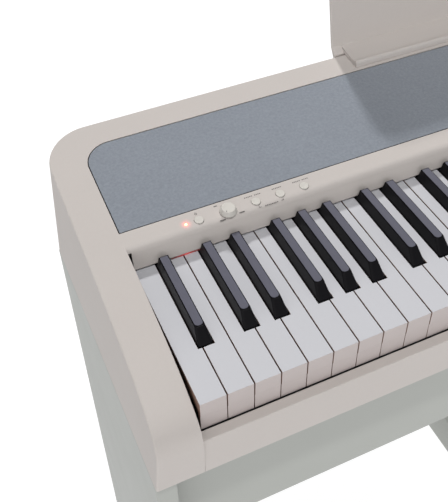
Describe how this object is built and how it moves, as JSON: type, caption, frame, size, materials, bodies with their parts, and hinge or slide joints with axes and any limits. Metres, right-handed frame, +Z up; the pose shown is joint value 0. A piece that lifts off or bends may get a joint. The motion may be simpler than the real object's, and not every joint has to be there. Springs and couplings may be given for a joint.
{
  "type": "digital piano on stand",
  "caption": "Slim full-size digital piano with cheek blocks, front controls, cloth-fine speaker grille and music rest, on a two-panel stand with an apron board and a pedal unit.",
  "frame": {"origin": "centre of the footprint, on the floor", "axes": "+X to the player's right (treble), +Y away from the player, +Z up"},
  "size_m": [1.312, 0.3845, 0.9502],
  "materials": {
    "case": "warm light grey moulded plastic, satin, fine spark texture",
    "grille": "blue-grey perforated sheet under fine cloth, matt",
    "control": "warm white moulded plastic, satin",
    "led": "clear red lens, lit",
    "chassis": "dark grey moulded plastic, matt",
    "board": "green circuit board",
    "steel": "zinc plated steel",
    "speaker": "black paper cone and pressed basket",
    "stand": "grey-green painted fibreboard, satin",
    "stand_plastic": "grey-green moulded plastic, satin",
    "brass": "polished brass",
    "rubber": "black rubber, matt",
    "white_key": "cool white moulded plastic, satin gloss",
    "black_key": "black moulded plastic, satin, matt top"
  },
  "bodies": {
    "cabinet": {"top_case": "case", "key_slip": "case", "speaker_grille": "grille", "power_led": "led", "bottom_case": "chassis", "key_frame": "chassis", "socket_plate": "chassis", "pedal_socket": "chassis", "panel_board": "board", "main_board": "board", "contact_board": "board", "power_inlet": "steel", "headphone_socket": "steel", "left_bracket": "steel", "right_bracket": "steel", "left_thumb_screw": "steel", "right_thumb_screw": "steel", "pedal_axle": "steel", "left_speaker": "speaker", "right_speaker": "speaker", "left_side_panel": "stand", "right_side_panel": "stand", "apron_board": "stand", "pedal_board": "stand", "pedal_housing": "stand_plastic", "left_front_glide": "rubber", "left_rear_glide": "rubber", "right_front_glide": "rubber", "right_rear_glide": "rubber"},
    "white_key_a0": {"white_key_a0": "white_key"},
    "black_key_a_sharp0": {"black_key_a_sharp0": "black_key"},
    "white_key_b0": {"white_key_b0": "white_key"},
    "white_key_c1": {"white_key_c1": "white_key"},
    "black_key_c_sharp1": {"black_key_c_sharp1": "black_key"},
    "white_key_d1": {"white_key_d1": "white_key"},
    "black_key_d_sharp1": {"black_key_d_sharp1": "black_key"},
    "white_key_e1": {"white_key_e1": "white_key"},
    "white_key_f1": {"white_key_f1": "white_key"},
    "black_key_f_sharp1": {"black_key_f_sharp1": "black_key"},
    "white_key_g1": {"white_key_g1": "white_key"},
    "black_key_g_sharp1": {"black_key_g_sharp1": "black_key"},
    "white_key_a1": {"white_key_a1": "white_key"},
    "black_key_a_sharp1": {"black_key_a_sharp1": "black_key"},
    "white_key_b1": {"white_key_b1": "white_key"},
    "white_keys_c2_to_b3": {"white_keys_c2_to_b3": "white_key"},
    "black_keys_c2_to_b3": {"black_keys_c2_to_b3": "black_key"},
    "white_keys_c4_to_b5": {"white_keys_c4_to_b5": "white_key"},
    "black_keys_c4_to_b5": {"black_keys_c4_to_b5": "black_key"},
    "white_keys_c6_to_c8": {"white_keys_c6_to_c8": "white_key"},
    "black_keys_c6_to_c8": {"black_keys_c6_to_c8": "black_key"},
    "power_button": {"power_button": "control"},
    "play_button": {"play_button": "control"},
    "sound_button": {"sound_button": "control"},
    "metronome_button": {"metronome_button": "control"},
    "volume_knob": {"volume_knob": "control"},
    "music_rest": {"music_rest": "case"},
    "soft_pedal": {"soft_pedal": "brass"},
    "sostenuto_pedal": {"sostenuto_pedal": "brass"},
    "damper_pedal": {"damper_pedal": "brass"},
    "adjuster_foot": {"adjuster_foot": "rubber"}
  },
  "joints": [
    {"name": "white_key_a0_hinge", "type": "hinge", "parent": "cabinet", "child": "white_key_a0", "pos_m": [-0.59925, 0.04475, 0.722], "axis": [1, 0, 0], "range_deg": [0, 2.5], "stiffness_Nm_per_rad": 1.2, "springref_deg": -14.32},
    {"name": "black_key_a_sharp0_hinge", "type": "hinge", "parent": "cabinet", "child": "black_key_a_sharp0", "pos_m": [-0.58414, 0.04475, 0.722], "axis": [1, 0, 0], "range_deg": [0, 2.5], "stiffness_Nm_per_rad": 0.6, "springref_deg": -14.32},
    {"name": "white_key_b0_hinge", "type": "hinge", "parent": "cabinet", "child": "white_key_b0", "pos_m": [-0.57575, 0.04475, 0.722], "axis": [1, 0, 0], "range_deg": [0, 2.5], "stiffness_Nm_per_rad": 1.2, "springref_deg": -14.32},
    {"name": "white_key_c1_hinge", "type": "hinge", "parent": "cabinet", "child": "white_key_c1", "pos_m": [-0.55225, 0.04475, 0.722], "axis": [1, 0, 0], "range_deg": [0, 2.5], "stiffness_Nm_per_rad": 1.2, "springref_deg": -14.32},
    {"name": "black_key_c_sharp1_hinge", "type": "hinge", "parent": "cabinet", "child": "black_key_c_sharp1", "pos_m": [-0.54285, 0.04475, 0.722], "axis": [1, 0, 0], "range_deg": [0, 2.5], "stiffness_Nm_per_rad": 0.6, "springref_deg": -14.32},
    {"name": "white_key_d1_hinge", "type": "hinge", "parent": "cabinet", "child": "white_key_d1", "pos_m": [-0.52875, 0.04475, 0.722], "axis": [1, 0, 0], "range_deg": [0, 2.5], "stiffness_Nm_per_rad": 1.2, "springref_deg": -14.32},
    {"name": "black_key_d_sharp1_hinge", "type": "hinge", "parent": "cabinet", "child": "black_key_d_sharp1", "pos_m": [-0.51465, 0.04475, 0.722], "axis": [1, 0, 0], "range_deg": [0, 2.5], "stiffness_Nm_per_rad": 0.6, "springref_deg": -14.32},
    {"name": "white_key_e1_hinge", "type": "hinge", "parent": "cabinet", "child": "white_key_e1", "pos_m": [-0.50525, 0.04475, 0.722], "axis": [1, 0, 0], "range_deg": [0, 2.5], "stiffness_Nm_per_rad": 1.2, "springref_deg": -14.32},
    {"name": "white_key_f1_hinge", "type": "hinge", "parent": "cabinet", "child": "white_key_f1", "pos_m": [-0.48175, 0.04475, 0.722], "axis": [1, 0, 0], "range_deg": [0, 2.5], "stiffness_Nm_per_rad": 1.2, "springref_deg": -14.32},
    {"name": "black_key_f_sharp1_hinge", "type": "hinge", "parent": "cabinet", "child": "black_key_f_sharp1", "pos_m": [-0.47336, 0.04475, 0.722], "axis": [1, 0, 0], "range_deg": [0, 2.5], "stiffness_Nm_per_rad": 0.6, "springref_deg": -14.32},
    {"name": "white_key_g1_hinge", "type": "hinge", "parent": "cabinet", "child": "white_key_g1", "pos_m": [-0.45825, 0.04475, 0.722], "axis": [1, 0, 0], "range_deg": [0, 2.5], "stiffness_Nm_per_rad": 1.2, "springref_deg": -14.32},
    {"name": "black_key_g_sharp1_hinge", "type": "hinge", "parent": "cabinet", "child": "black_key_g_sharp1", "pos_m": [-0.4465, 0.04475, 0.722], "axis": [1, 0, 0], "range_deg": [0, 2.5], "stiffness_Nm_per_rad": 0.6, "springref_deg": -14.32},
    {"name": "white_key_a1_hinge", "type": "hinge", "parent": "cabinet", "child": "white_key_a1", "pos_m": [-0.43475, 0.04475, 0.722], "axis": [1, 0, 0], "range_deg": [0, 2.5], "stiffness_Nm_per_rad": 1.2, "springref_deg": -14.32},
    {"name": "black_key_a_sharp1_hinge", "type": "hinge", "parent": "cabinet", "child": "black_key_a_sharp1", "pos_m": [-0.41964, 0.04475, 0.722], "axis": [1, 0, 0], "range_deg": [0, 2.5], "stiffness_Nm_per_rad": 0.6, "springref_deg": -14.32},
    {"name": "white_key_b1_hinge", "type": "hinge", "parent": "cabinet", "child": "white_key_b1", "pos_m": [-0.41125, 0.04475, 0.722], "axis": [1, 0, 0], "range_deg": [0, 2.5], "stiffness_Nm_per_rad": 1.2, "springref_deg": -14.32},
    {"name": "white_keys_c2_to_b3_hinge", "type": "hinge", "parent": "cabinet", "child": "white_keys_c2_to_b3", "pos_m": [-0.235, 0.04475, 0.722], "axis": [1, 0, 0], "range_deg": [0, 2.5], "stiffness_Nm_per_rad": 14, "springref_deg": -14.32},
    {"name": "black_keys_c2_to_b3_hinge", "type": "hinge", "parent": "cabinet", "child": "black_keys_c2_to_b3", "pos_m": [-0.2345, 0.04475, 0.722], "axis": [1, 0, 0], "range_deg": [0, 2.5], "stiffness_Nm_per_rad": 6, "springref_deg": -14.32},
    {"name": "white_keys_c4_to_b5_hinge", "type": "hinge", "parent": "cabinet", "child": "white_keys_c4_to_b5", "pos_m": [0.094, 0.04475, 0.722], "axis": [1, 0, 0], "range_deg": [0, 2.5], "stiffness_Nm_per_rad": 14, "springref_deg": -14.32},
    {"name": "black_keys_c4_to_b5_hinge", "type": "hinge", "parent": "cabinet", "child": "black_keys_c4_to_b5", "pos_m": [0.09451, 0.04475, 0.722], "axis": [1, 0, 0], "range_deg": [0, 2.5], "stiffness_Nm_per_rad": 6, "springref_deg": -14.32},
    {"name": "white_keys_c6_to_c8_hinge", "type": "hinge", "parent": "cabinet", "child": "white_keys_c6_to_c8", "pos_m": [0.43475, 0.04475, 0.722], "axis": [1, 0, 0], "range_deg": [0, 2.5], "stiffness_Nm_per_rad": 14, "springref_deg": -14.32},
    {"name": "black_keys_c6_to_c8_hinge", "type": "hinge", "parent": "cabinet", "child": "black_keys_c6_to_c8", "pos_m": [0.42351, 0.04475, 0.722], "axis": [1, 0, 0], "range_deg": [0, 2.5], "stiffness_Nm_per_rad": 6, "springref_deg": -14.32},
    {"name": "power_button_press", "type": "slide", "parent": "cabinet", "child": "power_button", "axis": [0, 0.0995, -0.995], "range_m": [0, 0.0006], "stiffness_N_per_m": 400, "springref_m": -0.003},
    {"name": "play_button_press", "type": "slide", "parent": "cabinet", "child": "play_button", "axis": [0, 0.0995, -0.995], "range_m": [0, 0.0006], "stiffness_N_per_m": 400, "springref_m": -0.003},
    {"name": "sound_button_press", "type": "slide", "parent": "cabinet", "child": "sound_button", "axis": [0, 0.0995, -0.995], "range_m": [0, 0.0006], "stiffness_N_per_m": 400, "springref_m": -0.003},
    {"name": "metronome_button_press", "type": "slide", "parent": "cabinet", "child": "metronome_button", "axis": [0, 0.0995, -0.995], "range_m": [0, 0.0006], "stiffness_N_per_m": 400, "springref_m": -0.003},
    {"name": "volume_turn", "type": "hinge", "parent": "cabinet", "child": "volume_knob", "pos_m": [-0.5128, -0.01645, 0.75528], "axis": [0, -0.0995, 0.995], "range_deg": [-150, 150]},
    {"name": "music_rest_lift", "type": "slide", "parent": "cabinet", "child": "music_rest", "axis": [0, 0, 1], "range_m": [0, 0.03]},
    {"name": "soft_pedal_hinge", "type": "hinge", "parent": "cabinet", "child": "soft_pedal", "pos_m": [-0.068, -0.03925, 0.062], "axis": [1, 0, 0], "range_deg": [0, 5], "stiffness_Nm_per_rad": 15, "springref_deg": -3.44},
    {"name": "sostenuto_pedal_hinge", "type": "hinge", "parent": "cabinet", "child": "sostenuto_pedal", "pos_m": [0, -0.03925, 0.062], "axis": [1, 0, 0], "range_deg": [0, 5], "stiffness_Nm_per_rad": 15, "springref_deg": -3.44},
    {"name": "damper_pedal_hinge", "type": "hinge", "parent": "cabinet", "child": "damper_pedal", "pos_m": [0.068, -0.03925, 0.062], "axis": [1, 0, 0], "range_deg": [0, 5], "stiffness_Nm_per_rad": 15, "springref_deg": -3.44},
    {"name": "adjuster_screw", "type": "slide", "parent": "cabinet", "child": "adjuster_foot", "axis": [0, 0, 1], "range_m": [0, 0.008]}
  ]
}
